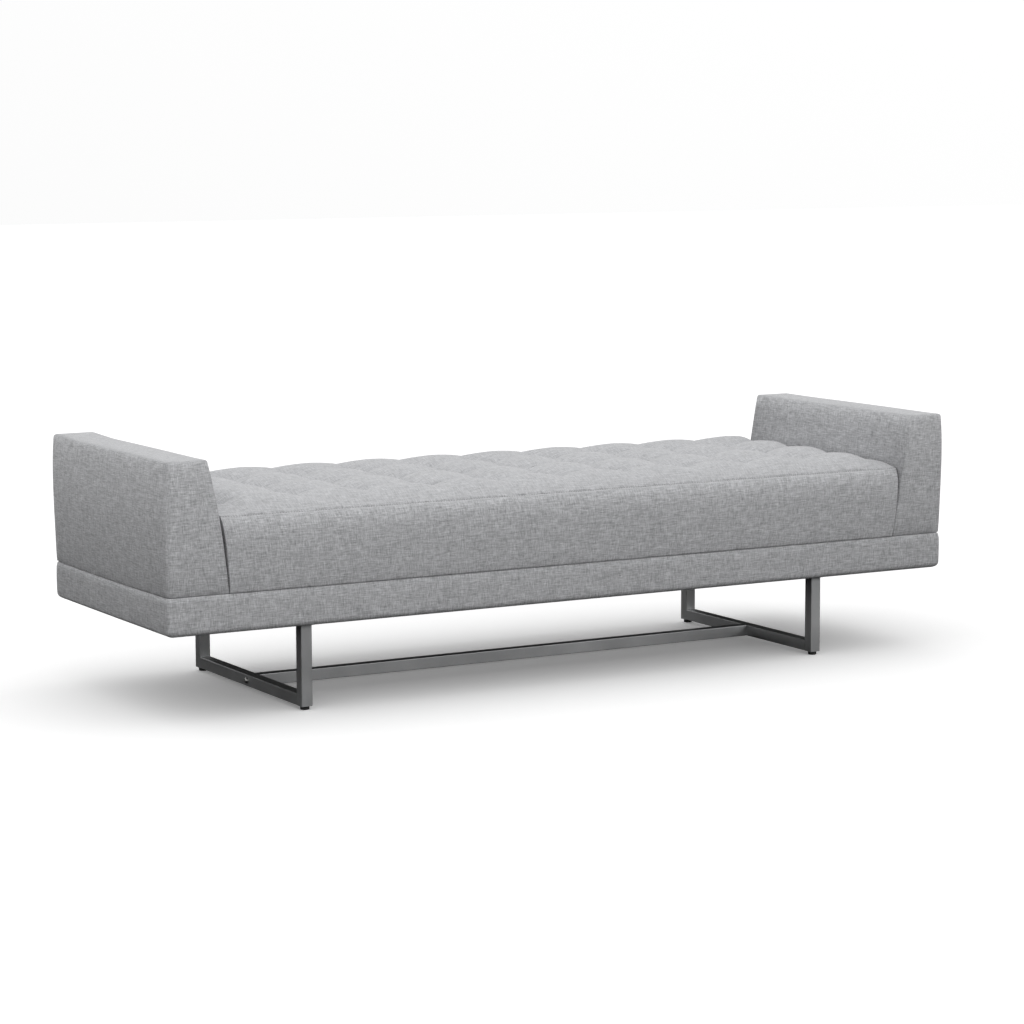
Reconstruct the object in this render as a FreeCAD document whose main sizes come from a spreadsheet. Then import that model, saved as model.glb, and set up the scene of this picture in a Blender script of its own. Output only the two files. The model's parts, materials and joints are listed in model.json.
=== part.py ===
import FreeCAD, Part
import math
import os
import re
import Sketcher

# A tufted daybed: an upholstered platform with two low, leaning arms and a loose tufted mattress,
# on a steel base of two sled frames joined by a stretcher. +X runs along the length, the front
# faces -Y, +Z is up, and the origin is on the floor under the middle. All sizes are millimetres.

SIZES = {
    # the whole
    "overall_length": 1960,
    "overall_depth": 630,
    "platform_bottom": 186,
    "platform_top": 268.2,
    "fabric": 1,
    # sled frames and stretcher, all of one square tube
    "tube": 25.4,
    "tube_wall": 2,
    "tube_corner": 1.2,
    "frame_offset": 652.3,
    "frame_depth": 555.8,
    "frame_bottom": 8,
    "plate_width": 38,
    "plate_thickness": 5,
    "plug_length": 20,
    # M8 button-head bolts through the runners into the stretcher
    "bolt_radius": 4,
    "bolt_hole_radius": 4.25,
    "bolt_grip": 43,
    "head_radius": 7,
    "head_height": 4.4,
    "socket_across": 5,
    "socket_depth": 2.8,
    # screws from the top plates up into the wood
    "screw_radius": 2.5,
    "screw_hole_radius": 2.75,
    "screw_length": 28,
    "screw_head_radius": 5,
    "screw_head_height": 2.6,
    "screw_pitch": 140,
    # levelling feet: a pad that swivels on a threaded stud
    "pad_radius": 9.8,
    "pad_height": 7.7,
    "pad_edge": 1.2,
    "stud_radius": 4,
    "stud_top": 36,
    "collar_radius": 6,
    "collar_bottom": 2.5,
    "collar_top": 4.5,
    "running_gap": 0.05,
    "insert_height": 22,
    # wooden platform frame
    "band_thickness": 10,
    "band_lip": 40,
    "rail_thickness": 22,
    "base_rail_width": 45,
    "bearer_width": 70,
    "bearer_thickness": 22,
    "block_side": 60,
    "block_height": 50,
    "deck_thickness": 5,
    "deck_cloth": 1.2,
    # arms
    "arm_height": 278.2,
    "arm_bottom_width": 139,
    "arm_top_width": 92.6,
    "arm_edge": 14,
    "arm_cover": 1.5,
    "arm_padding": 10.5,
    "arm_board": 18,
    "arm_panel": 6,
    "arm_bolt_offset": 913,
    "arm_bolt_pitch": 200,
    "arm_bolt_head": 6.5,
    "arm_bolt_head_height": 5.3,
    # mattress
    "mattress_gap": 0.4,
    "mattress_height": 183,
    "mattress_seam": 160.6,
    "mattress_crown": 75,
    "mattress_bottom_half": 838,
    "mattress_top_half": 864,
    "mattress_cover": 2,
    "tie_radius": 1.5,
    "tie_pitch": 162.5,
    "tie_row_pitch": 157.5,
}

TIE_COLUMNS = 11
TIE_ROWS = 3
SCREWS_PER_PLATE = 4
SIDES = {"left": -1, "right": 1}
ENDS = {"front": -1, "back": 1}

doc = FreeCAD.newDocument("daybed")
subparts = []


def fill_sheet():
    """The sheet of driving dimensions, one row each: its name beside its value."""
    sheet = doc.addObject("Spreadsheet::Sheet", "Sizes")
    for row, (name, value) in enumerate(SIZES.items(), start=1):
        sheet.set(f"A{row}", name)
        sheet.set(f"B{row}", str(value))
        sheet.setAlias(f"B{row}", name)
    doc.recompute()


def bound(words):
    """The formula in words, with every name of the sheet written as its cell."""
    def cell(word):
        return f"Sizes.{word[0]}" if word[0] in SIZES else word[0]

    return re.sub(r"[a-z]\w*", cell, str(words))


def worth(words):
    """The value in millimetres that a formula has now."""
    return float(doc.getObject("Sizes").evalExpression(str(words)))


def place(part, x=0, y=0, z=0):
    """Binds the part's position to the sheet."""
    for axis, words in zip("xyz", (x, y, z)):
        part.setExpression(f"Placement.Base.{axis}", bound(words))


def keep(part):
    """Marks an object as one of the pieces that are written out."""
    subparts.append(part)
    return part


def times(side, words):
    """The formula on the side's own half: side is -1 or 1."""
    return f"{side} * ({words})"


# Sketches and bodies


def sketch_on(body, role, label):
    """A new sketch on one of the body's own origin planes."""
    sketch = body.newObject("Sketcher::SketchObject", label)
    plane = [item for item in body.Origin.OriginFeatures if item.Role == role][0]
    sketch.AttachmentSupport = [(plane, "")]
    sketch.MapMode = "FlatFace"
    return sketch


def draw_polygon(sketch, corners):
    """A closed outline whose corners are pairs of formulas, each bound to the sheet."""
    first = sketch.GeometryCount
    points = [FreeCAD.Vector(worth(across), worth(up), 0) for across, up in corners]
    lines = len(points)
    for index in range(lines):
        sketch.addGeometry(Part.LineSegment(points[index], points[(index + 1) % lines]), False)
    for index in range(lines):
        following = first + (index + 1) % lines
        sketch.addConstraint(Sketcher.Constraint("Coincident", first + index, 2, following, 1))
    for index, (corner, point) in enumerate(zip(corners, points)):
        for kind, words, value in zip(("DistanceX", "DistanceY"), corner, point):
            number = sketch.addConstraint(Sketcher.Constraint(kind, -1, 1, first + index, 1, value))
            sketch.setExpression(f"Constraints[{number}]", bound(words))


def draw_circle(sketch, radius, across=0, up=0):
    """A circle whose radius and centre are bound to the sheet."""
    centre = FreeCAD.Vector(worth(across), worth(up), 0)
    circle = sketch.addGeometry(Part.Circle(centre, FreeCAD.Vector(0, 0, 1), worth(radius)), False)
    number = sketch.addConstraint(Sketcher.Constraint("Radius", circle, worth(radius)))
    sketch.setExpression(f"Constraints[{number}]", bound(radius))
    for kind, words, value in zip(("DistanceX", "DistanceY"), (across, up), centre):
        number = sketch.addConstraint(Sketcher.Constraint(kind, -1, 1, circle, 3, value))
        sketch.setExpression(f"Constraints[{number}]", bound(words))


def square(size):
    """The corners of a square about the sketch's origin."""
    half = f"({size}) / 2"
    return [(f"-{half}", f"-{half}"), (half, f"-{half}"), (half, half), (f"-{half}", half)]


def prism(label, role, outlines, length):
    """A body padded from its outlines, the same way to both sides of the plane."""
    body = doc.addObject("PartDesign::Body", label)
    sketch = sketch_on(body, role, f"{label}_outline")
    for corners in outlines:
        draw_polygon(sketch, corners)
    pad = body.newObject("PartDesign::Pad", f"{label}_pad")
    pad.Profile = sketch
    pad.SideType = "Symmetric"
    pad.setExpression("Length", bound(length))
    doc.recompute()
    return body


def turned(label, corners):
    """A body turned about its own Z axis from half of its section."""
    body = doc.addObject("PartDesign::Body", label)
    sketch = sketch_on(body, "XZ_Plane", f"{label}_section")
    draw_polygon(sketch, corners)
    turn = body.newObject("PartDesign::Revolution", f"{label}_turn")
    turn.Profile = sketch
    turn.ReferenceAxis = (sketch, ["V_Axis"])
    turn.Angle = 360
    doc.recompute()
    return body


def cut_through(body, role, label, radius, length, across=0, up=0):
    """Drills a round hole through the body, both ways from the plane."""
    before = body.Shape.Volume
    sketch = sketch_on(body, role, f"{label}_outline")
    draw_circle(sketch, radius, across, up)
    hole = body.newObject("PartDesign::Pocket", label)
    hole.Profile = sketch
    hole.SideType = "Symmetric"
    hole.setExpression("Length", bound(length))
    doc.recompute()
    if body.Shape.Volume >= before:
        raise RuntimeError(f"{label} cuts nothing")
    return hole


def repeat_along(body, role, feature, label, length, count):
    """Repeats a feature along the axis with this role, over the length from first to last."""
    before = body.Shape.Volume
    pattern = body.newObject("PartDesign::LinearPattern", label)
    pattern.Originals = [feature]
    axis = [item for item in body.Origin.OriginFeatures if item.Role == role][0]
    pattern.Direction = (axis, [""])
    pattern.Occurrences = count
    pattern.setExpression("Length", bound(length))
    body.Tip = pattern
    doc.recompute()
    if body.Shape.Volume >= before:
        raise RuntimeError(f"{label} repeats nothing")


def round_edges(body, label, radius, wanted):
    """Fillets the edges of the body's tip that wanted picks."""
    feature = body.Tip
    edges = enumerate(feature.Shape.Edges, start=1)
    names = [f"Edge{number}" for number, edge in edges if wanted(edge)]
    fillet = body.newObject("PartDesign::Fillet", label)
    fillet.Base = (feature, names)
    fillet.setExpression("Radius", bound(radius))
    doc.recompute()


def board(label, size, centre, bottom):
    """A plain board: its three sizes, the place of its middle, and its underside."""
    part = doc.addObject("Part::Box", label)
    for name, words in zip(("Length", "Width", "Height"), size):
        part.setExpression(name, bound(words))
    place(part, f"{centre[0]} - ({size[0]}) / 2", f"{centre[1]} - ({size[1]}) / 2", bottom)
    return part


def rod(label, radius, length, x, y, z):
    """A plain upright cylinder standing on z."""
    part = doc.addObject("Part::Cylinder", label)
    part.setExpression("Radius", bound(radius))
    part.setExpression("Height", bound(length))
    place(part, x, y, z)
    return part


def group(label, parts):
    """Several separate solids as one piece."""
    together = doc.addObject("Part::Compound", label)
    together.Links = parts
    return together


def combine(kind, label, base, tool):
    """A boolean of two objects: kind is Part::Cut, Part::Common or Part::Fuse."""
    result = doc.addObject(kind, label)
    result.Base = base
    result.Tool = tool
    return result


# Steel base


def is_long_corner(length):
    """Picks a tube's outer corner edges: as long as the tube, and furthest from its middle."""
    reach = worth("tube") / math.sqrt(2)

    def wanted(edge):
        middle = edge.CenterOfMass
        return abs(edge.Length - worth(length)) < 0.01 and abs(middle.Length - reach) < 0.01

    return wanted


def square_tube(label, role, length):
    """A length of the square tube, centred on its body's origin."""
    body = prism(label, role, [square("tube"), square("tube - 2 * tube_wall")], length)
    round_edges(body, f"{label}_corners", "tube_corner", is_long_corner(length))
    return body


def make_legs():
    length = "platform_bottom - plate_thickness - frame_bottom"
    for side, across in SIDES.items():
        for end, along in ENDS.items():
            leg = keep(square_tube(f"{side}_{end}_leg", "XY_Plane", length))
            place(
                leg,
                times(across, "frame_offset"),
                times(along, "(frame_depth - tube) / 2"),
                f"frame_bottom + ({length}) / 2",
            )


def make_runners():
    for side, across in SIDES.items():
        runner = keep(square_tube(f"{side}_runner", "XZ_Plane", "frame_depth - 2 * tube"))
        cut_through(runner, "YZ_Plane", f"{side}_runner_hole", "bolt_hole_radius", "2 * tube")
        place(runner, times(across, "frame_offset"), 0, "frame_bottom + tube / 2")


def make_top_plates():
    span = f"{SCREWS_PER_PLATE - 1} * screw_pitch"
    corners = [
        ("-plate_width / 2", "-plate_thickness / 2"),
        ("plate_width / 2", "-plate_thickness / 2"),
        ("plate_width / 2", "plate_thickness / 2"),
        ("-plate_width / 2", "plate_thickness / 2"),
    ]
    for side, across in SIDES.items():
        label = f"{side}_top_plate"
        plate = keep(prism(label, "XZ_Plane", [corners], "frame_depth"))
        deep, first = "2 * plate_thickness", f"-({span}) / 2"
        hole = cut_through(plate, "XY_Plane", f"{label}_hole", "screw_hole_radius", deep, 0, first)
        repeat_along(plate, "Y_Axis", hole, f"{label}_holes", span, SCREWS_PER_PLATE)
        place(plate, times(across, "frame_offset"), 0, "platform_bottom - plate_thickness / 2")


def make_stretcher():
    length = "2 * frame_offset - tube"
    stretcher = keep(square_tube("stretcher", "YZ_Plane", length))
    place(stretcher, 0, 0, "frame_bottom + tube / 2")
    plugs = []
    for side, across in SIDES.items():
        plug = prism(f"{side}_plug", "YZ_Plane", [square("tube - 2 * tube_wall")], "plug_length")
        cut_through(plug, "YZ_Plane", f"{side}_plug_thread", "bolt_radius", "2 * plug_length")
        place(plug, times(across, f"({length} - plug_length) / 2"), 0, "frame_bottom + tube / 2")
        plugs.append(plug)
    keep(group("stretcher_plugs", plugs))


def hexagon(across_flats):
    """The corners of a hexagon about the origin, for a socket or a bolt's head."""
    corners = []
    for index in range(6):
        reach = f"({across_flats}) / sqrt(3)"
        turn = math.radians(60 * index)
        corners.append((f"{reach} * {math.cos(turn):.6f}", f"{reach} * {math.sin(turn):.6f}"))
    return corners


def make_stretcher_bolts():
    """Button-head bolts that lie along X, heads outwards on the runners."""
    bolts = []
    for side, across in SIDES.items():
        label = f"{side}_stretcher_bolt"
        bolt = turned(
            label,
            [
                (0, "-bolt_grip"),
                ("bolt_radius", "-bolt_grip"),
                ("bolt_radius", 0),
                ("head_radius", 0),
                ("head_radius", "head_height * 0.3"),
                ("head_radius * 0.86", "head_height * 0.72"),
                ("head_radius * 0.55", "head_height"),
                (0, "head_height"),
            ],
        )
        before = bolt.Shape.Volume
        sketch = sketch_on(bolt, "XY_Plane", f"{label}_socket_outline")
        draw_polygon(sketch, hexagon("socket_across"))
        sketch.setExpression("AttachmentOffset.Base.z", bound("head_height"))
        socket = bolt.newObject("PartDesign::Pocket", f"{label}_socket")
        socket.Profile = sketch
        socket.setExpression("Length", bound("socket_depth"))
        doc.recompute()
        if bolt.Shape.Volume >= before:
            raise RuntimeError(f"{label} has no socket")
        bolt.Placement = FreeCAD.Placement(
            FreeCAD.Vector(), FreeCAD.Rotation(FreeCAD.Vector(0, 1, 0), 90 * across)
        )
        place(bolt, times(across, "frame_offset + tube / 2"), 0, "frame_bottom + tube / 2")
        bolts.append(bolt)
    keep(group("stretcher_bolts", bolts))


def make_feet():
    """At each corner an insert fixed in the leg, a stud that screws in it, and the stud's pad."""
    inserts = []
    for side, across in SIDES.items():
        for end, along in ENDS.items():
            corner = f"{side}_{end}"
            x = times(across, "frame_offset")
            y = times(along, "(frame_depth - tube) / 2")
            insert = prism(
                f"{corner}_insert", "XY_Plane", [square("tube - 2 * tube_wall")], "insert_height"
            )
            cut_through(
                insert, "XY_Plane", f"{corner}_thread", "stud_radius + running_gap", "2 * insert_height"
            )
            place(insert, x, y, "frame_bottom + insert_height / 2")
            inserts.append(insert)
            place(keep(foot_stud(f"{corner}_foot_stud")), x, y, 0)
            place(keep(foot_pad(f"{corner}_foot_pad")), x, y, 0)
    keep(group("foot_inserts", inserts))


def foot_stud(label):
    return turned(
        label,
        [
            (0, "collar_bottom"),
            ("collar_radius", "collar_bottom"),
            ("collar_radius", "collar_top"),
            ("stud_radius", "collar_top"),
            ("stud_radius", "stud_top"),
            (0, "stud_top"),
        ],
    )


def foot_pad(label):
    """A round glide whose hollow holds the stud's collar, with a neck that lets the stud turn."""
    return turned(
        label,
        [
            (0, 0),
            ("pad_radius - pad_edge", 0),
            ("pad_radius", "pad_edge"),
            ("pad_radius", "pad_height - pad_edge"),
            ("pad_radius - pad_edge", "pad_height"),
            ("stud_radius + running_gap", "pad_height"),
            ("stud_radius + running_gap", "collar_top + running_gap"),
            ("collar_radius + running_gap", "collar_top + running_gap"),
            ("collar_radius + running_gap", "collar_bottom - running_gap"),
            (0, "collar_bottom - running_gap"),
        ],
    )


def screw_places():
    """Where the screws go up from the top plates, as pairs of formulas."""
    middle = (SCREWS_PER_PLATE - 1) / 2
    return [
        (times(across, "frame_offset"), f"{index - middle} * screw_pitch")
        for across in SIDES.values()
        for index in range(SCREWS_PER_PLATE)
    ]


def make_base_screws():
    screws = []
    under = "platform_bottom - plate_thickness"
    for number, (x, y) in enumerate(screw_places(), start=1):
        shank = rod(f"screw_{number}_shank", "screw_radius", "screw_length", x, y, under)
        head = rod(
            f"screw_{number}_head",
            "screw_head_radius",
            "screw_head_height",
            x,
            y,
            f"{under} - screw_head_height",
        )
        screws.append(combine("Part::Fuse", f"screw_{number}", head, shank))
    keep(group("base_screws", screws))


# Platform

WOOD_BOTTOM = "platform_bottom + fabric"
WOOD_TOP = "platform_top - deck_cloth - deck_thickness"
WOOD_HALF_LENGTH = "(overall_length / 2 - band_thickness)"
WOOD_HALF_DEPTH = "(overall_depth / 2 - band_thickness)"
INNER_DEPTH = f"2 * ({WOOD_HALF_DEPTH} - rail_thickness)"


def make_rails():
    """The outer frame of four rails, standing on edge."""
    tall = f"{WOOD_TOP} - ({WOOD_BOTTOM})"
    for end, along in ENDS.items():
        middle = times(along, f"{WOOD_HALF_DEPTH} - rail_thickness / 2")
        size = (f"2 * {WOOD_HALF_LENGTH}", "rail_thickness", tall)
        keep(board(f"{end}_rail", size, (0, middle), WOOD_BOTTOM))
    for side, across in SIDES.items():
        middle = times(across, f"{WOOD_HALF_LENGTH} - rail_thickness / 2")
        keep(board(f"{side}_end_rail", ("rail_thickness", INNER_DEPTH, tall), (middle, 0), WOOD_BOTTOM))
    keep(board("centre_rail", ("rail_thickness", INNER_DEPTH, tall), (0, 0), WOOD_BOTTOM))


def make_base_rails():
    """The stout rails over the two sled frames, drilled for the screws from below."""
    tall = f"{WOOD_TOP} - ({WOOD_BOTTOM})"
    for side, across in SIDES.items():
        solid = board(
            f"{side}_base_rail_solid",
            ("base_rail_width", INNER_DEPTH, tall),
            (times(across, "frame_offset"), 0),
            WOOD_BOTTOM,
        )
        pilots = [
            rod(
                f"{side}_pilot_{number}",
                "screw_radius",
                "screw_length",
                x,
                y,
                "platform_bottom - plate_thickness",
            )
            for number, (x, y) in enumerate(screw_places(), start=1)
            if x.startswith(f"{across} ")
        ]
        drill = group(f"{side}_base_rail_pilots", pilots)
        keep(combine("Part::Cut", f"{side}_base_rail", solid, drill))


def make_corner_blocks():
    """Triangular blocks glued into the four inner corners of the frame."""
    blocks = []
    for side, across in SIDES.items():
        for end, along in ENDS.items():
            corners = [
                (0, 0),
                (times(-across, "block_side"), 0),
                (0, times(-along, "block_side")),
            ]
            block = prism(f"{side}_{end}_block", "XY_Plane", [corners], "block_height")
            place(
                block,
                times(across, f"{WOOD_HALF_LENGTH} - rail_thickness"),
                times(along, f"{WOOD_HALF_DEPTH} - rail_thickness"),
                f"{WOOD_BOTTOM} + block_height / 2",
            )
            blocks.append(block)
    keep(group("corner_blocks", blocks))


def arm_bolt_places(side):
    """The three bolts of one arm, as pairs of formulas."""
    return [(times(side, "arm_bolt_offset"), f"{row} * arm_bolt_pitch") for row in (-1, 0, 1)]


def arm_bolt_drill(label, radius):
    """Tall rods where the arm bolts pass, to cut their holes."""
    foot = f"{WOOD_TOP} - 2 * bearer_thickness"
    rods = [
        rod(f"{label}_{side}_{number}", radius, "3 * arm_board + 2 * bearer_thickness", x, y, foot)
        for side, across in SIDES.items()
        for number, (x, y) in enumerate(arm_bolt_places(across))
    ]
    return group(label, rods)


def make_bearers_and_deck():
    """Flat bearers that take the arm bolts, the plywood deck, and the cloth over it."""
    drill = arm_bolt_drill("arm_bolt_clearance", "bolt_hole_radius")
    for side, across in SIDES.items():
        middle = times(across, f"{WOOD_HALF_LENGTH} - rail_thickness - bearer_width / 2")
        solid = board(
            f"{side}_bearer_solid",
            ("bearer_width", INNER_DEPTH, "bearer_thickness"),
            (middle, 0),
            f"{WOOD_TOP} - bearer_thickness",
        )
        keep(combine("Part::Cut", f"{side}_arm_bearer", solid, drill))
    size = (f"2 * {WOOD_HALF_LENGTH}", f"2 * {WOOD_HALF_DEPTH}")
    panel = board("deck_panel_solid", (*size, "deck_thickness"), (0, 0), WOOD_TOP)
    keep(combine("Part::Cut", "deck_panel", panel, drill))
    cloth = board("deck_cloth_solid", (*size, "deck_cloth"), (0, 0), "platform_top - deck_cloth")
    keep(combine("Part::Cut", "deck_cloth", cloth, drill))


def make_dust_cover():
    """The thin cloth stapled under the platform, pierced by the base screws."""
    size = (
        f"2 * ({WOOD_HALF_LENGTH} - band_lip)",
        f"2 * ({WOOD_HALF_DEPTH} - band_lip)",
        "fabric",
    )
    cloth = board("dust_cover_solid", size, (0, 0), "platform_bottom")
    rods = [
        rod(f"dust_hole_{number}", "screw_hole_radius", "3 * fabric", x, y, "platform_bottom - fabric")
        for number, (x, y) in enumerate(screw_places(), start=1)
    ]
    keep(combine("Part::Cut", "dust_cover", cloth, group("dust_holes", rods)))


def make_bands():
    """Padded bands round the platform, each turned under the frame by its lip."""
    tall = "platform_top - platform_bottom"
    for end, along in ENDS.items():
        wall = times(along, "overall_depth / 2 - band_thickness / 2")
        lip = times(along, f"{WOOD_HALF_DEPTH} - band_lip / 2")
        size = ("overall_length", "band_thickness", tall)
        face = board(f"{end}_band_face", size, (0, wall), "platform_bottom")
        size = (f"2 * {WOOD_HALF_LENGTH}", "band_lip", "fabric")
        under = board(f"{end}_band_lip", size, (0, lip), "platform_bottom")
        keep(combine("Part::Fuse", f"{end}_band", face, under))
    for side, across in SIDES.items():
        wall = times(across, "overall_length / 2 - band_thickness / 2")
        lip = times(across, f"{WOOD_HALF_LENGTH} - band_lip / 2")
        size = ("band_thickness", f"2 * {WOOD_HALF_DEPTH}", tall)
        face = board(f"{side}_band_face", size, (wall, 0), "platform_bottom")
        size = ("band_lip", f"2 * ({WOOD_HALF_DEPTH} - band_lip)", "fabric")
        under = board(f"{side}_band_lip", size, (lip, 0), "platform_bottom")
        keep(combine("Part::Fuse", f"{side}_band", face, under))


# Arms


def inner_face(height, inset):
    """How far the arm's leaning inner face is from its outer face, at a height above the platform."""
    slope = "(arm_bottom_width - arm_top_width) / arm_height"
    return f"(arm_bottom_width - {slope} * ({height}) - ({inset}) * sqrt(1 + ({slope}) ^ 2))"


def arm_outline(side, bottom, top, outer, inner):
    """A four-sided section of the arm: outer is its plumb line, inner a function of the height."""
    return [
        (times(-side, outer), bottom),
        (times(-side, inner(bottom)), bottom),
        (times(-side, inner(top)), top),
        (times(-side, outer), top),
    ]


def arm_solid(label, side, outline, depth, y=0):
    """A prism of the arm's section, standing on the platform at the object's end."""
    body = prism(label, "XZ_Plane", [outline], depth)
    place(body, times(side, "overall_length / 2"), y, "platform_top")
    return body


def off_bottom(edge):
    """Picks every edge that isn't wholly on the arm's underside."""
    return edge.BoundBox.ZMax > 1


def rounded_arm(label, side, inset):
    """The whole arm's form, taken in by the inset all round but at the bottom, with soft edges."""
    outline = arm_outline(side, "0", f"arm_height - {inset}", inset, lambda z: inner_face(z, inset))
    body = arm_solid(label, side, outline, f"overall_depth - 2 * ({inset})")
    round_edges(body, f"{label}_edges", f"arm_edge - {inset}", off_bottom)
    return body


def make_arms():
    """Each arm: a plywood box under padding and a fabric cover, bolted down through the deck."""
    core = "(arm_cover + arm_padding)"
    panelled = f"({core} + arm_panel)"
    ceiling = f"(arm_height - {core} - arm_board)"
    core_depth = f"(overall_depth - 2 * {core})"
    thread = arm_bolt_drill("arm_bolt_threads", "bolt_radius")

    def core_face(z):
        return inner_face(z, core)

    def panel_face(z):
        return inner_face(z, panelled)

    for side, across in SIDES.items():
        outer_form = rounded_arm(f"{side}_arm_form", across, "0")
        inner_form = rounded_arm(f"{side}_arm_padding_form", across, "arm_cover")
        core_outline = arm_outline(across, "0", f"arm_height - {core}", core, core_face)
        core_form = arm_solid(f"{side}_arm_core_form", across, core_outline, core_depth)
        keep(combine("Part::Cut", f"{side}_arm_cover", outer_form, inner_form))
        keep(combine("Part::Cut", f"{side}_arm_padding", inner_form, core_form))

        base_outline = arm_outline(across, "0", "arm_board", core, core_face)
        base = arm_solid(f"{side}_arm_base_solid", across, base_outline, core_depth)
        keep(combine("Part::Cut", f"{side}_arm_base", base, thread))
        top_outline = arm_outline(across, ceiling, f"arm_height - {core}", core, core_face)
        keep(arm_solid(f"{side}_arm_top", across, top_outline, core_depth))
        outer_outline = arm_outline(across, "arm_board", ceiling, core, lambda z: panelled)
        keep(arm_solid(f"{side}_arm_outer_panel", across, outer_outline, core_depth))
        inner_outline = [
            (times(-across, panel_face("arm_board")), "arm_board"),
            (times(-across, core_face("arm_board")), "arm_board"),
            (times(-across, core_face(ceiling)), ceiling),
            (times(-across, panel_face(ceiling)), ceiling),
        ]
        keep(arm_solid(f"{side}_arm_inner_panel", across, inner_outline, core_depth))
        gusset_outline = arm_outline(across, "arm_board", ceiling, panelled, panel_face)
        for end, along in ENDS.items():
            middle = times(along, f"({core_depth} - arm_board) / 2")
            keep(arm_solid(f"{side}_arm_{end}_gusset", across, gusset_outline, "arm_board", middle))


def make_arm_bolts():
    """Hex-head bolts from under the bearers up into the arms' base boards."""
    bolts = []
    under = f"{WOOD_TOP} - bearer_thickness"
    reach = "bearer_thickness + deck_thickness + deck_cloth + arm_board"
    for across in SIDES.values():
        for number, (x, y) in enumerate(arm_bolt_places(across)):
            label = f"arm_bolt_{across}_{number}"
            shank = rod(f"{label}_shank", "bolt_radius", reach, x, y, under)
            outline = [hexagon("2 * arm_bolt_head")]
            head = prism(f"{label}_head", "XY_Plane", outline, "arm_bolt_head_height")
            place(head, x, y, f"{under} - arm_bolt_head_height / 2")
            bolts.append(combine("Part::Fuse", label, head, shank))
    keep(group("arm_bolts", bolts))


# Mattress

MATTRESS_BOTTOM = "platform_top + mattress_gap"


def mattress_form(label, inset):
    """The mattress's form taken in by the inset: ends that lean with the arms, and a sloped crown."""
    ends = [
        (f"-(mattress_bottom_half - {inset})", inset),
        (f"mattress_bottom_half - {inset}", inset),
        (f"mattress_top_half - {inset}", f"mattress_height - {inset}"),
        (f"-(mattress_top_half - {inset})", f"mattress_height - {inset}"),
    ]
    half = f"(overall_depth / 2 - {inset})"
    crown = [
        (f"-{half}", inset),
        (half, inset),
        (half, f"mattress_seam - {inset}"),
        (f"{half} - mattress_crown", f"mattress_height - {inset}"),
        (f"-({half} - mattress_crown)", f"mattress_height - {inset}"),
        (f"-{half}", f"mattress_seam - {inset}"),
    ]
    long_way = prism(f"{label}_ends", "XZ_Plane", [ends], "overall_depth")
    across = prism(f"{label}_crown", "YZ_Plane", [crown], "2 * mattress_top_half")
    for body in (long_way, across):
        place(body, 0, 0, MATTRESS_BOTTOM)
    return combine("Part::Common", label, long_way, across)


def make_mattress():
    """A foam core in a cover of three sewn panels, tied through at each dimple."""
    outer = mattress_form("mattress_form", "0")
    inner = mattress_form("mattress_core_form", "mattress_cover")
    cover = combine("Part::Cut", "mattress_cover_form", outer, inner)
    layers = {
        "mattress_bottom_panel": ("0", "mattress_cover"),
        "mattress_border": ("mattress_cover", "mattress_seam"),
        "mattress_top_panel": ("mattress_seam", "mattress_height"),
    }
    for label, (low, high) in layers.items():
        size = ("2 * mattress_top_half", "overall_depth", f"{high} - {low}")
        layer = board(f"{label}_layer", size, (0, 0), f"{MATTRESS_BOTTOM} + {low}")
        keep(combine("Part::Common", label, cover, layer))

    ties = [
        rod(
            f"tie_{column}_{row}",
            "tie_radius",
            "mattress_height - 2 * mattress_cover",
            f"{column - (TIE_COLUMNS - 1) / 2} * tie_pitch",
            f"{row - (TIE_ROWS - 1) / 2} * tie_row_pitch",
            f"{MATTRESS_BOTTOM} + mattress_cover",
        )
        for column in range(TIE_COLUMNS)
        for row in range(TIE_ROWS)
    ]
    tied = keep(group("tuft_ties", ties))
    keep(combine("Part::Cut", "mattress_core", inner, tied))


def check_document():
    """Stops if any object failed or any piece has no valid shape."""
    for item in doc.Objects:
        if "Invalid" in item.State or "Error" in item.State:
            raise RuntimeError(f"{item.Label} failed: {item.State}")
    for part in subparts:
        if part.Shape.isNull() or not part.Shape.isValid() or not part.Shape.Solids:
            raise RuntimeError(f"{part.Label} has no valid solid")


def write_parts():
    os.makedirs("parts", exist_ok=True)
    for part in subparts:
        part.Shape.exportStep(f"parts/{part.Label}.step")
    print(f"{len(subparts)} parts")


fill_sheet()
make_legs()
make_runners()
make_top_plates()
make_stretcher()
make_stretcher_bolts()
make_feet()
make_base_screws()
make_rails()
make_base_rails()
make_corner_blocks()
make_bearers_and_deck()
make_dust_cover()
make_bands()
make_arms()
make_arm_bolts()
make_mattress()
doc.recompute()
check_document()
write_parts()
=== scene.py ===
import json
import math

import bpy
import numpy as np
from mathutils import Matrix, Vector


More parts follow.
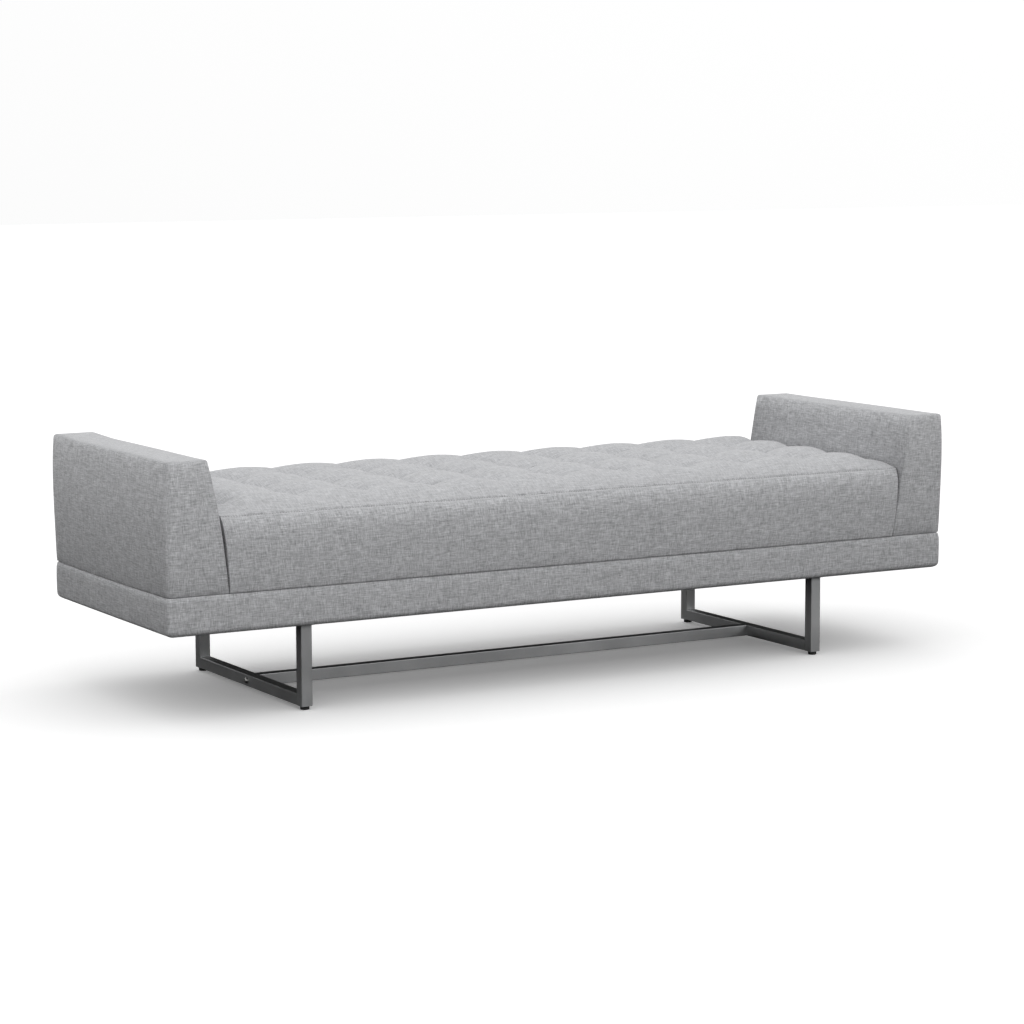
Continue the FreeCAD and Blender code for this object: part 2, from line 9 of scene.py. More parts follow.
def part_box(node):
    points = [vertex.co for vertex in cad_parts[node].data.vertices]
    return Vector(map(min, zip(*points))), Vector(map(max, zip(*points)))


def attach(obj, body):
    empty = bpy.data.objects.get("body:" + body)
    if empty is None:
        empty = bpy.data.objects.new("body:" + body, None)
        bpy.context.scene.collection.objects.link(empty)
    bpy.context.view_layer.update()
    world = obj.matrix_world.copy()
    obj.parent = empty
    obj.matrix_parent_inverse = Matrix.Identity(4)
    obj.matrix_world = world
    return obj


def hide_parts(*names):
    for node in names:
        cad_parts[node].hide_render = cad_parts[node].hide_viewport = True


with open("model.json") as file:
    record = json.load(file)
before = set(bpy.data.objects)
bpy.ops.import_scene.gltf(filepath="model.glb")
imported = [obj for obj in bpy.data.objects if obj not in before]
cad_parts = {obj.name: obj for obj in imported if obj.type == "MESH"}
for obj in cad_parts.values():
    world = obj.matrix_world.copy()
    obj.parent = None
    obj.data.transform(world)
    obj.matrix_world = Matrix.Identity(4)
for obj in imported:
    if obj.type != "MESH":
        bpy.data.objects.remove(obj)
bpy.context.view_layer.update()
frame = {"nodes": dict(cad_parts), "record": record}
nodes = frame["nodes"]

# --------------------------------------------------------------------------- meshes

EDGE_ARC = 4  # grid lines round each edge of a block
LINE_ROOM = 0.75  # a grid line nearer than this share of the added lines' gap gives way to them
GAP_SAMPLES = 4001
SIDE_SHIFT = (0.37, 0.23)  # metres between the cloth coordinates of one side of a block and the next
SIDE_AXES = {0: (1, 2), 1: (1, 2), 2: (0, 2), 3: (0, 2), 4: (0, 1), 5: (0, 1)}
ON_EDGE = 1e-9


def mesh_piece(name, points, faces, material, uvs):
    """A smooth mesh object from points, faces and one (u, v) per face corner, in metres of cloth."""
    mesh = bpy.data.meshes.new(name)
    mesh.from_pydata([tuple(p) for p in points], [], [tuple(f) for f in faces])
    mesh.materials.append(material)
    layer = mesh.uv_layers.new(name="weave")
    layer.data.foreach_set("uv", np.asarray(uvs, dtype=np.float32).ravel())
    mesh.polygons.foreach_set("use_smooth", [True] * len(mesh.polygons))
    mesh.update()
    piece = bpy.data.objects.new(name, mesh)
    bpy.context.scene.collection.objects.link(piece)
    return piece


def spread(low, high, radius_low, radius_high, step):
    """Grid lines from low to high: closer ones in the rounded edges, even ones between."""
    turn = [math.tan(math.radians(45) * i / EDGE_ARC) for i in range(EDGE_ARC + 1)]
    left = [low + radius_low * (1 - t) for t in reversed(turn)]
    right = [high - radius_high * (1 - t) for t in turn]
    middle_low, middle_high = left[-1], right[0]
    count = max(1, round((middle_high - middle_low) / step))
    middle = [middle_low + (middle_high - middle_low) * i / count for i in range(1, count)]
    return np.array(left + middle + right)


def with_lines(lines, extra):
    """The same grid lines with extra ones put in, and any line close to an extra one left out."""
    extra = np.asarray(extra)
    gap = np.min(np.diff(np.sort(extra))) * LINE_ROOM
    ends = (0, len(lines) - 1)
    keep = [v for i, v in enumerate(lines) if i in ends or np.min(np.abs(extra - v)) > gap]
    return np.array(sorted(keep + list(extra)))


def smoothstep(low, high, value):
    t = np.clip((value - low) / (high - low), 0, 1)
    return t * t * (3 - 2 * t)


def graded(low, high, coarse, fine, folds, reach):
    """Grid lines from low to high, fine near the folds and coarse between them."""
    s = np.linspace(low, high, GAP_SAMPLES)
    away = np.min(np.abs(s[:, None] - np.asarray(list(folds), float)[None, :]), axis=1)
    gap = fine + (coarse - fine) * smoothstep(reach * 0.4, reach, away)
    count = np.concatenate([[0], np.cumsum(np.diff(s) * 0.5 * (1 / gap[1:] + 1 / gap[:-1]))])
    return np.interp(np.linspace(0, count[-1], int(round(count[-1])) + 1), count, s)


def block_grid(xs, ys, zs):
    """The skin of a box as quads: points, faces, and each face's side (0-5: -x +x -y +y -z +z)."""
    points, index, faces, sides = [], {}, [], []

    def at(i, j, k):
        key = (i, j, k)
        if key not in index:
            index[key] = len(points)
            points.append((xs[i], ys[j], zs[k]))
        return index[key]

    nx, ny, nz = len(xs) - 1, len(ys) - 1, len(zs) - 1
    for j in range(ny):
        for k in range(nz):
            faces.append((at(0, j, k), at(0, j, k + 1), at(0, j + 1, k + 1), at(0, j + 1, k)))
            faces.append((at(nx, j, k), at(nx, j + 1, k), at(nx, j + 1, k + 1), at(nx, j, k + 1)))
            sides += [0, 1]
    for i in range(nx):
        for k in range(nz):
            faces.append((at(i, 0, k), at(i + 1, 0, k), at(i + 1, 0, k + 1), at(i, 0, k + 1)))
            faces.append((at(i, ny, k), at(i, ny, k + 1), at(i + 1, ny, k + 1), at(i + 1, ny, k)))
            sides += [2, 3]
    for i in range(nx):
        for j in range(ny):
            faces.append((at(i, j, 0), at(i, j + 1, 0), at(i + 1, j + 1, 0), at(i + 1, j, 0)))
            faces.append((at(i, j, nz), at(i + 1, j, nz), at(i + 1, j + 1, nz), at(i, j + 1, nz)))
            sides += [4, 5]
    return np.array(points), np.array(faces), np.array(sides)


def side_uvs(points, faces, sides, shift=(0.0, 0.0)):
    """Cloth coordinates in metres, one pair per face corner: each side laid flat along its own axes."""
    corners = points[faces]
    uvs = np.zeros((len(faces), faces.shape[1], 2))
    for side, axes in SIDE_AXES.items():
        chosen = sides == side
        for k, axis in enumerate(axes):
            uvs[chosen, :, k] = corners[chosen][:, :, axis] + SIDE_SHIFT[k] * side + shift[k]
    return uvs.reshape(-1, 2)


def round_block(points, low, high, radius_low, radius_high):
    """Moves the skin of a box onto one with rounded edges, of one radius per axis at each end."""
    low, high = np.asarray(low, float), np.asarray(high, float)
    radius_low, radius_high = np.asarray(radius_low, float), np.asarray(radius_high, float)
    inner = np.clip(points, low + radius_low, high - radius_high)
    away = points - inner
    radius = np.where(away < 0, radius_low, radius_high)
    unit = away / radius
    length = np.linalg.norm(unit, axis=1, keepdims=True)
    length[length < ON_EDGE] = 1
    return inner + radius * unit / length


# ------------------------------------------------------------------------ materials


class Graph:
    """A node tree under construction."""

    def __init__(self, tree):
        self.tree = tree
        tree.nodes.clear()

    def add(self, kind, settings=None, **inputs):
        """A node. Inputs are numbers, colours or sockets, under their names with _ for a space."""
        node = self.tree.nodes.new(kind)
        for key, value in (settings or {}).items():
            setattr(node, key, value)
        for key, value in inputs.items():
            self.feed(node, key.replace("_", " "), value)
        return node

    def feed(self, node, key, value):
        socket = node.inputs[int(key) if key.isdigit() else key]
        if isinstance(value, bpy.types.NodeSocket):
            self.tree.links.new(value, socket)
        else:
            socket.default_value = value

    def math(self, operation, a, b=None):
        node = self.add("ShaderNodeMath", {"operation": operation})
        for i, value in enumerate((a, b)):
            if value is not None:
                self.feed(node, str(i), value)
        return node.outputs[0]

    def weighted(self, *pairs):
        """The sum of each value times its weight."""
        total = None
        for value, weight in pairs:
            share = self.math("MULTIPLY", value, weight)
            total = share if total is None else self.math("ADD", total, share)
        return total

    def dot(self, vector, direction):
        node = self.add("ShaderNodeVectorMath", {"operation": "DOT_PRODUCT"},
                        **{"0": vector, "1": direction})
        return node.outputs["Value"]

    def scaled(self, vector, scale):
        node = self.add("ShaderNodeVectorMath", {"operation": "MULTIPLY"}, **{"0": vector, "1": scale})
        return node.outputs[0]

    def split(self, vector):
        return self.add("ShaderNodeSeparateXYZ", None, Vector=vector).outputs

    def remap(self, value, from_low, from_high, to_low, to_high, kind="LINEAR"):
        node = self.add("ShaderNodeMapRange", {"interpolation_type": kind}, Value=value, From_Min=from_low,
                        From_Max=from_high, To_Min=to_low, To_Max=to_high)
        return node.outputs[0]


class Finish(Graph):
    """A node material under construction."""

    def __init__(self, name):
        self.material = bpy.data.materials.new(name)
        self.material.use_nodes = True
        super().__init__(self.material.node_tree)
        self.output = self.add("ShaderNodeOutputMaterial")
        self.shader = self.add("ShaderNodeBsdfPrincipled")
        self.tree.links.new(self.shader.outputs[0], self.output.inputs["Surface"])

    def place(self):
        return self.add("ShaderNodeTexCoord").outputs["Object"]

    def noise(self, vector, scale, detail, roughness):
        node = self.add("ShaderNodeTexNoise", {"noise_dimensions": "3D"}, Vector=vector, Scale=scale,
                        Detail=detail, Roughness=roughness)
        return node.outputs["Fac"]

    def choose(self, switch, off, on):
        """The value off where the switch is 0 and on where it is 1."""
        node = self.add("ShaderNodeMix", {"data_type": "FLOAT"}, **{"0": switch, "2": off, "3": on})
        return node.outputs[0]

    def mix(self, factor, a, b, blend="MIX"):
        node = self.add("ShaderNodeMix", {"data_type": "RGBA", "blend_type": blend})
        for key, value in (("0", factor), ("6", a), ("7", b)):
            self.feed(node, key, (*value, 1) if isinstance(value, tuple) else value)
        return node.outputs[2]

    def bump(self, height, strength, distance):
        node = self.add("ShaderNodeBump", None, Height=height, Strength=strength, Distance=distance)
        self.tree.links.new(node.outputs[0], self.shader.inputs["Normal"])

    def surface(self, **inputs):
        """Sets the shader's inputs, which are named as in add."""
        for key, value in inputs.items():
            self.feed(self.shader, key.replace("_", " "), value)


WARP_STEP, WEFT_STEP = 7.31, 5.77  # how far apart neighbouring yarns lie in the noise that colours them
WARP_RUN_SHARE = 0.7
YARN_TONE, CLOTH_TONE, FIBRE_TONE, PATCH_TONE = 0.25, 0.75, 0.16, 0.02
TONE_HALF_RANGE = 0.20
LEVEL_START, LEVEL_FULL = 0.55, 0.85  # the upward part of the normal between which the cloth grows calm
# painted shade in the hollows between yarns and a painted highlight on their crowns, as factors on the colour
VALLEY_PAINTED_SHADE, CROWN_PAINTED_HIGHLIGHT = 0.86, 1.04
CROWN_HEIGHT, SLUB_HEIGHT = 0.55, 0.9
WEAVE_RELIEF, WEAVE_DEPTH, CLOTH_ROUGH = 0.35, 0.00035, (0.86, 0.97)
STEEL_BRUSH, PLASTIC_UNEVEN = 0.12, 0.06


def woven(name, dark, light, pitch=0.0012, slub=0.0014, run=0.026, contrast=1.0, sheen=0.15, worn=1.0):
    """Plain-woven cloth of slubby, heathered yarns, laid by the weave coordinates.

    The contrast of the yarns falls to the share worn where the cloth lies level. The colour also carries
    painted shade between the yarns and a painted highlight on their crowns.
    """
    f = Finish(name)
    uv = f.add("ShaderNodeUVMap", {"uv_map": "weave"}).outputs[0]
    u, v, _ = f.split(uv)
    warp_line = f.math("MULTIPLY", f.math("FLOOR", f.math("DIVIDE", u, slub)), WARP_STEP)
    weft_line = f.math("MULTIPLY", f.math("FLOOR", f.math("DIVIDE", v, slub)), WEFT_STEP)
    along_warp = f.math("DIVIDE", v, run * WARP_RUN_SHARE)
    along_weft = f.math("DIVIDE", u, run)
    warp_place = f.add("ShaderNodeCombineXYZ", None, X=warp_line, Y=along_warp).outputs[0]
    weft_place = f.add("ShaderNodeCombineXYZ", None, X=along_weft, Y=weft_line).outputs[0]
    warp_slub = f.noise(warp_place, 1.0, 2.0, 0.6)
    weft_slub = f.noise(weft_place, 1.0, 2.0, 0.6)
    narrow, long = 1 / (pitch * 0.6), 1 / (pitch * 3)
    fibre_warp = f.noise(f.scaled(uv, (narrow, long, 1.0)), 1.0, 1.0, 0.5)
    fibre_weft = f.noise(f.scaled(uv, (long, narrow, 1.0)), 1.0, 1.0, 0.5)
    patches = f.noise(uv, 22.0, 3.0, 0.55)
    # which yarn lies on top: a plain weave, one over and one under
    column = f.math("FLOOR", f.math("DIVIDE", u, pitch))
    row = f.math("FLOOR", f.math("DIVIDE", v, pitch))
    over = f.math("FLOORED_MODULO", f.math("ADD", column, row), 2.0)
    # each yarn's rounded section
    across_warp = f.math("PINGPONG", f.math("DIVIDE", u, pitch), 0.5)
    across_weft = f.math("PINGPONG", f.math("DIVIDE", v, pitch), 0.5)
    round_warp = f.math("SINE", f.math("MULTIPLY", across_warp, math.pi))
    round_weft = f.math("SINE", f.math("MULTIPLY", across_weft, math.pi))
    slubs = f.choose(over, warp_slub, weft_slub)
    fibre = f.choose(over, fibre_warp, fibre_weft)
    crown = f.choose(over, round_warp, round_weft)
    both = f.weighted((warp_slub, 0.5), (weft_slub, 0.5))
    # how far the tone lies from the middle, from the yarns, their fibres and faint larger patches
    tone = f.weighted((slubs, YARN_TONE), (both, CLOTH_TONE), (f.math("SUBTRACT", fibre, 0.5), FIBRE_TONE),
                      (f.math("SUBTRACT", patches, 0.5), PATCH_TONE))
    upward = f.split(f.add("ShaderNodeTexCoord").outputs["Normal"])[2]
    calm = f.remap(upward, LEVEL_START, LEVEL_FULL, 1.0, worn)
    tone = f.math("ADD", 0.5, f.math("MULTIPLY", f.math("SUBTRACT", tone, 0.5), calm))
    reach = TONE_HALF_RANGE / contrast
    colour = f.mix(f.remap(tone, 0.5 - reach, 0.5 + reach, 0.0, 1.0), dark, light)
    # painted shade between the yarns and a painted highlight on their crowns, multiplied into the colour
    painted_yarn_shade = f.remap(crown, 0.0, 1.0, VALLEY_PAINTED_SHADE, CROWN_PAINTED_HIGHLIGHT)
    painted_yarn_shade_colour = f.add("ShaderNodeCombineColor", None, Red=painted_yarn_shade, Green=painted_yarn_shade, Blue=painted_yarn_shade).outputs[0]
    f.surface(Base_Color=f.mix(1.0, colour, painted_yarn_shade_colour, "MULTIPLY"),
              Roughness=f.remap(fibre, 0.3, 0.7, *CLOTH_ROUGH),
              Sheen_Weight=sheen, Sheen_Roughness=0.45, Specular_IOR_Level=0.2)
    f.bump(f.weighted((crown, CROWN_HEIGHT), (slubs, SLUB_HEIGHT)), WEAVE_RELIEF, WEAVE_DEPTH)
    return f.material


def metal(name, colour, light, rough):
    """Steel with a fine grain, cloudy tone and slightly uneven gloss."""
    f = Finish(name)
    place = f.place()
    cloud = f.noise(place, 9.0, 4.0, 0.55)
    speck = f.noise(place, 900.0, 2.0, 0.6)
    grain = f.noise(f.scaled(place, (260.0, 260.0, 40.0)), 1.0, 3.0, 0.6)
    tone = f.weighted((cloud, 0.6), (speck, 0.4))
    gloss = f.math("ADD", f.weighted((grain, STEEL_BRUSH), (cloud, STEEL_BRUSH)), rough - STEEL_BRUSH)
    f.surface(Base_Color=f.mix(f.remap(tone, 0.35, 0.65, 0.0, 1.0), colour, light), Roughness=gloss,
              Metallic=1.0)
    f.bump(f.math("ADD", speck, f.math("MULTIPLY", grain, 0.5)), 0.02, 0.0002)
    return f.material


def plastic(name, colour, light, rough):
    """Moulded plastic with a fine pebbled texture."""
    f = Finish(name)
    place = f.place()
    pebble = f.noise(place, 1400.0, 2.0, 0.5)
    cloud = f.noise(place, 60.0, 2.0, 0.5)
    gloss = f.remap(pebble, 0.3, 0.7, rough - PLASTIC_UNEVEN, rough + PLASTIC_UNEVEN)
    f.surface(Base_Color=f.mix(cloud, colour, light), Roughness=gloss)
    f.bump(pebble, 0.15, 0.0002)
    return f.material


def timber(name, dark, light, grain_scale, band_scale, band_distortion):
    """Wood with growth rings, or the veneers of plywood seen on its edges."""
    f = Finish(name)
    place = f.place()
    wander = f.noise(f.scaled(place, (3.0, 3.0, 9.0)), 1.0, 3.0, 0.5)
    fine = f.noise(f.scaled(place, grain_scale), 1.0, 4.0, 0.6)
    bands = f.add("ShaderNodeTexWave", {"wave_type": "BANDS", "bands_direction": "Z", "wave_profile": "SIN"},
                  Vector=place, Scale=band_scale, Distortion=band_distortion, Detail=2.0, Detail_Scale=1.5)
    tone = f.weighted((bands.outputs["Fac"], 0.4), (fine, 0.35), (wander, 0.35))
    f.surface(Base_Color=f.mix(f.remap(tone, 0.25, 0.85, 0.0, 1.0), dark, light),
              Roughness=f.remap(fine, 0.3, 0.7, 0.5, 0.75))
    f.bump(fine, 0.2, 0.0004)
    return f.material


def sponge(name, dark, light):
    """Open-cell foam."""
    f = Finish(name)
    place = f.place()
    cells = f.add("ShaderNodeTexVoronoi", None, Vector=place, Scale=650.0).outputs["Distance"]
    cloud = f.noise(place, 12.0, 3.0, 0.5)
    f.surface(Base_Color=f.mix(f.weighted((cells, 0.6), (cloud, 0.4)), dark, light), Roughness=0.95)
    f.bump(cells, 0.5, 0.0008)
    return f.material


FINISHES = {
    "grey_upholstery": woven("grey_upholstery", (0.315, 0.318, 0.328), (0.728, 0.732, 0.748),
                             contrast=1.4, worn=0.6),
    "black_cloth": woven("black_cloth", (0.012, 0.012, 0.013), (0.035, 0.035, 0.037), pitch=0.0009,
                         contrast=0.7, sheen=0.05),
    "thread": woven("thread", (0.17, 0.172, 0.176), (0.26, 0.262, 0.266), pitch=0.0008),
    "gunmetal_steel": metal("gunmetal_steel", (0.42, 0.425, 0.43), (0.50, 0.505, 0.51), 0.42),
    "zinc_steel": metal("zinc_steel", (0.50, 0.50, 0.49), (0.64, 0.64, 0.62), 0.32),
    "black_plastic": plastic("black_plastic", (0.012, 0.012, 0.012), (0.02, 0.02, 0.02), 0.5),
    "softwood": timber("softwood", (0.50, 0.34, 0.18), (0.72, 0.55, 0.34), (25.0, 260.0, 260.0), 28.0, 7.0),
    "plywood": timber("plywood", (0.52, 0.37, 0.22), (0.76, 0.61, 0.42), (260.0, 25.0, 260.0), 190.0, 1.2),
    "foam": sponge("foam", (0.70, 0.66, 0.48), (0.88, 0.85, 0.72)),
}
for subpart in frame["record"]["subparts"]:
    for slot in nodes[subpart["node"]].material_slots:
        slot.material = FINISHES[subpart["material_slot"]]

# -------------------------------------------------------------------------- mattress

TIE_PITCH, TIE_ROWS, TIE_COLUMNS = 0.1625, (-0.1575, 0.0, 0.1575), range(-5, 6)
CREASE_COLUMNS = range(-6, 7)  # the creases across the mattress run on past the ties at each end
BED_STEP, CREASE_STEP, CREASE_REACH, BORDER_STEP = 0.0085, 0.0028, 0.026, 0.007
NEAR_SEAM = (0.001, 0.0025, 0.0045)  # grid lines on both sides of the seam
NEAR_BOTTOM = (0.0052, 0.0035, 0.0018, 0.0)
CORNER_SHARES = (0.33, 0.66, 1.0)

# The section across the mattress, as its slope in degrees (0 level, 90 upright) against the
# distance in metres along the cloth from the seam, down the border and in over the top.
BORDER_SLOPE = ((0, 43), (0.008, 51), (0.015, 59), (0.023, 67), (0.031, 73), (0.0385, 77), (0.051, 82),
                (0.068, 86), (0.085, 88.5), (0.100, 90), (0.125, 90.5), (0.150, 94), (0.161, 99),
                (0.164, 105), (0.1675, 180))
TOP_SLOPE = ((0, 39), (0.018, 35), (0.035, 29.5), (0.055, 21), (0.078, 10.5), (0.102, 0), (0.4, 0))
TOP_WALK = 0.36
SEAM_INSET, SEAM_DROP, BED_CORNER, BOTTOM_MARGIN = 0.0195, 0.0022, 0.0025, 0.0026

# In the names below a pair says where a change starts and where it is full, in metres from the middle.
CREASE_SHARP, FOLD_TIP, TIE_TIP = 0.3, 0.0025, 0.005  # how rounded creases, folds and ties are at the bottom
ROW_HALF, ROW_FADE = 0.0788, 0.06  # metres from a row of ties where its crease is gone and starts to go
ROW_DIP, ROW_FOLD, ROW_FOLD_WIDTH = 0.0070, 0.0112, 0.0115
ROW_END, MIDDLE_ROW_LOSS, SIDE_ROW_LOSS = (0.79, 0.865), 0.35, 0.85
COLUMN_DIP, COLUMN_FOLD, COLUMN_FOLD_WIDTH = 0.0072, 0.0078, 0.013
COLUMN_END, COLUMN_LOSS = (0.178, 0.285), 0.95
TIE_DIP, TIE_WIDTH = 0.0215, 0.025
BACK_HALF, BACK_STEEPER, BACK_LOWER = (0.04, 0.20), 0.22, 0.05
ENDS, ENDS_LOWER = (0.765, 0.872), 0.70
GROOVE_DEPTH, GROOVE_WIDTH, GROOVE_REACH = 0.00182, 0.0022, 0.012
END_LEAN, BED_LEAN = 0.136, 0.030  # metres outwards, and to the right, for each metre up
TIPS, LEFT_TIP_LEAN, RIGHT_TIP_LEAN = (0.78, 0.89), 0.034, 0.030

bed_low, bed_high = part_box("mattress_bottom_panel")[0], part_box("mattress_top_panel")[1]
bed_bottom, bed_seam = bed_low[2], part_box("mattress_border")[1][2]
half_bottom, half_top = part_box("mattress_bottom_panel")[1][0] + BOTTOM_MARGIN, bed_high[0]
half_width = bed_high[1]


def walk(slopes, length, count=800):
    """Distance, horizontal run and drop or rise along a line whose slope is given."""
    s = np.linspace(0, length, count)
    slope = np.radians(np.interp(s, *zip(*slopes)))
    step = np.concatenate([[0], np.diff(s)])
    middle = np.concatenate([[slope[0]], (slope[1:] + slope[:-1]) / 2])
    return s, np.cumsum(np.cos(middle) * step), np.cumsum(np.sin(middle) * step)


seam_y, seam_z = half_width - SEAM_INSET, bed_seam - SEAM_DROP
down_s, down_out, down_drop = walk(BORDER_SLOPE, BORDER_SLOPE[-1][0])
down_drop *= (seam_z - bed_bottom) / down_drop[-1]
over_s, over_in, over_rise = walk(TOP_SLOPE, TOP_WALK)
border_length = down_s[-1]
top_length = float(np.interp(seam_y, over_in, over_s))


def soft_crease(distance, half_span):
    """1 on the crease at the side of a pillow and 0 at the pillow's middle, half_span away."""
    away = np.clip(np.abs(distance) / half_span, 0, 1)
    raw = np.sqrt(np.sin(away * math.pi / 2) ** 2 + CREASE_SHARP**2)
    return 1 - (raw - CREASE_SHARP) / (math.sqrt(1 + CREASE_SHARP**2) - CREASE_SHARP)


def nearest(value, spots):
    spots = np.asarray(list(spots), float)
    return spots[np.argmin(np.abs(value[:, None] - spots[None, :]), axis=1)]


def fold(distance, depth, width):
    """A narrow valley at a crease, rounded at its bottom."""
    return depth * np.exp(-(np.sqrt(distance**2 + FOLD_TIP**2) - FOLD_TIP) / width)


def tufting(x, y):
    """How far the ties and the folds between them draw the top of the mattress down, in metres."""
    dx = x - nearest(x, [k * TIE_PITCH for k in CREASE_COLUMNS])
    tie_dx = x - nearest(x, [k * TIE_PITCH for k in TIE_COLUMNS])
    dy = y - nearest(y, TIE_ROWS)
    rows = soft_crease(dy, ROW_HALF) * ROW_DIP + fold(dy, ROW_FOLD, ROW_FOLD_WIDTH)
    rows = rows * smoothstep(ROW_HALF, ROW_FADE, np.abs(dy))
    loss = np.where(np.abs(y) > TIE_ROWS[2] / 2, SIDE_ROW_LOSS, MIDDLE_ROW_LOSS)
    rows = rows * (1 - smoothstep(*ROW_END, np.abs(x)) * loss)
    columns = soft_crease(dx, TIE_PITCH / 2) * COLUMN_DIP + fold(dx, COLUMN_FOLD, COLUMN_FOLD_WIDTH)
    columns = columns * (1 - COLUMN_LOSS * smoothstep(*COLUMN_END, np.abs(y)))
    reach = np.sqrt(tie_dx**2 + dy**2 + TIE_TIP**2) - TIE_TIP
    return rows + columns + TIE_DIP * np.exp(-reach / TIE_WIDTH)


def bed_section(yb, zb):
    """The place across the mattress of cloth coordinates, and the share of the border below it.

    yb runs from the middle line over the top, and zb down from the seam.
    """
    sign = np.where(yb < 0, -1.0, 1.0)
    down = np.clip(zb, 0, border_length)
    share = 1 - down / border_length
    side_y = seam_y + np.interp(down, down_s, down_out)
    side_z = seam_z - np.interp(down, down_s, down_drop)
    inward = top_length - np.abs(yb)
    top_y = seam_y - np.interp(inward, over_s, over_in)
    behind = smoothstep(*BACK_HALF, yb)
    rise = np.interp(inward * (1 + BACK_STEEPER * behind), over_s, over_rise) * (1 - BACK_LOWER * behind)
    return sign * top_y * side_y / seam_y, side_z + rise * share**3, share


def mattress_shape(points):
    """Cloth coordinates of a box skin (x, yb, -zb) to the finished shape."""
    x, yb, zb = points[:, 0].copy(), points[:, 1].copy(), -points[:, 2]
    on_top, on_bottom = np.abs(zb) < ON_EDGE, np.abs(border_length - zb) < ON_EDGE
    on_flank = np.abs(np.abs(yb) - top_length) < ON_EDGE
    on_end = np.abs(np.abs(x) - half_top) < ON_EDGE
    from_seam = np.where(on_top, top_length - np.abs(yb), np.abs(zb))
    # the rounded rim of the ends: ux towards the end and uc towards the rim, from the round's centre
    from_rim = (top_length - np.abs(yb), zb, border_length - zb)
    inside = np.minimum.reduce(from_rim)
    ux = np.clip((np.abs(x) - (half_top - BED_CORNER)) / BED_CORNER, 0, 1)
    uc = np.where(on_end, np.clip((BED_CORNER - inside) / BED_CORNER, 0, 1), 1.0)
    length = np.sqrt(ux**2 + uc**2)
    length[length < ON_EDGE] = 1
    turn = (ux > 0) & (uc > 0)
    inset = np.where(turn, BED_CORNER * (1 - uc / length), 0.0)
    x = np.where(turn, np.sign(x) * (half_top - BED_CORNER + BED_CORNER * ux / length), x)
    # end faces: draw the outer rows in by the inset instead of their own distance
    near_side, near_top, near_low = (on_end & (uc > 0) & (away <= inside + ON_EDGE) for away in from_rim)
    yb = np.where(near_side, np.sign(yb) * (top_length - inset), yb)
    zb = np.where(near_top, inset, zb)
    zb = np.where(near_low, border_length - inset, zb)
    y, z, share = bed_section(yb, zb)
    z = z - tufting(x, y) * np.where(share > 0.999, 1.0, share**4)
    z = np.where(z > seam_z, seam_z + (z - seam_z) * (1 - ENDS_LOWER * smoothstep(*ENDS, np.abs(x))), z)
    # along the rounded rim the skin off the end face moves in towards the middle
    pull = np.where(turn & ~on_end, inset, 0.0)
    y = y - np.sign(y) * pull * on_flank
    z = z - pull * on_top + pull * on_bottom
    # the sewn edge sinks a little, unevenly
    by_seam = (on_top | on_flank) & (from_seam < GROOVE_REACH)
    uneven = 0.75 + 0.25 * np.sin(points[:, 0] * 61) * np.sin(points[:, 0] * 23 + 1.7)
    groove = np.where(by_seam, GROOVE_DEPTH * np.exp(-((from_seam / GROOVE_WIDTH) ** 2)), 0.0) * uneven
    y = y - np.sign(y) * groove
    z = z - groove
    # ends lean out with the arms
    height = np.maximum(z - bed_bottom, 0)
    x = x * (half_bottom + END_LEAN * height) / half_top + BED_LEAN * height
    x = x + height * (LEFT_TIP_LEAN * smoothstep(*TIPS, -x) - RIGHT_TIP_LEAN * smoothstep(*TIPS, x))
    return np.column_stack([x, y, z])


def make_mattress():
    flat = half_top - BED_CORNER
    xs = graded(-flat, flat, BED_STEP, CREASE_STEP, [k * TIE_PITCH for k in TIE_COLUMNS], CREASE_REACH)
    ends = BED_CORNER * (1 - np.array(CORNER_SHARES))
    xs = np.concatenate([-half_top + ends[::-1], xs, half_top - ends])
    half = graded(0, top_length, BED_STEP, CREASE_STEP, [0.0, TIE_ROWS[2], top_length], CREASE_REACH)
    ys = with_lines(np.concatenate([-half[:0:-1], half]),
                    [s * (top_length - d) for s in (-1, 1) for d in NEAR_SEAM])
    down = np.linspace(0, border_length - BORDER_STEP, round(border_length / BORDER_STEP))
    down = np.concatenate([down, border_length - np.array(NEAR_BOTTOM)])
    zs = with_lines(-down[::-1], [-d for d in NEAR_SEAM])
    points, faces, sides = block_grid(xs, ys, zs)
    uvs = side_uvs(points, faces, sides)
    piece = mesh_piece("mattress", mattress_shape(points), faces, FINISHES["grey_upholstery"], uvs)
    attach(piece, "mattress")
    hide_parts("mattress_top_panel", "mattress_border", "mattress_bottom_panel", "mattress_core",
                "tuft_ties")


make_mattress()

STITCH_PITCH, STITCH_LENGTH, THREAD_RADIUS = 0.0062, 0.0046, 0.00055
STITCH_SIDES, STITCH_RINGS = 6, (-1.0, -0.75, 0.0, 0.75, 1.0)
STITCH_RISE, STITCH_SINK, STITCH_TIP = 0.35, 1.3, 0.45  # in radii of the thread
STITCH_UV = (0.0004, 0.001)
SEAM_END, SEAM_NORMAL_RISE, SEAM_LONG_COUNT, SEAM_SHORT_COUNT = 0.002, 0.9, 260, 90


def closed(values):
    """The same rows with the first repeated at the end."""
    return np.vstack([values, values[:1]])


def distances(path):
    """How far along a path each of its points lies."""
    return np.concatenate([[0], np.cumsum(np.linalg.norm(np.diff(path, axis=0), axis=1))])


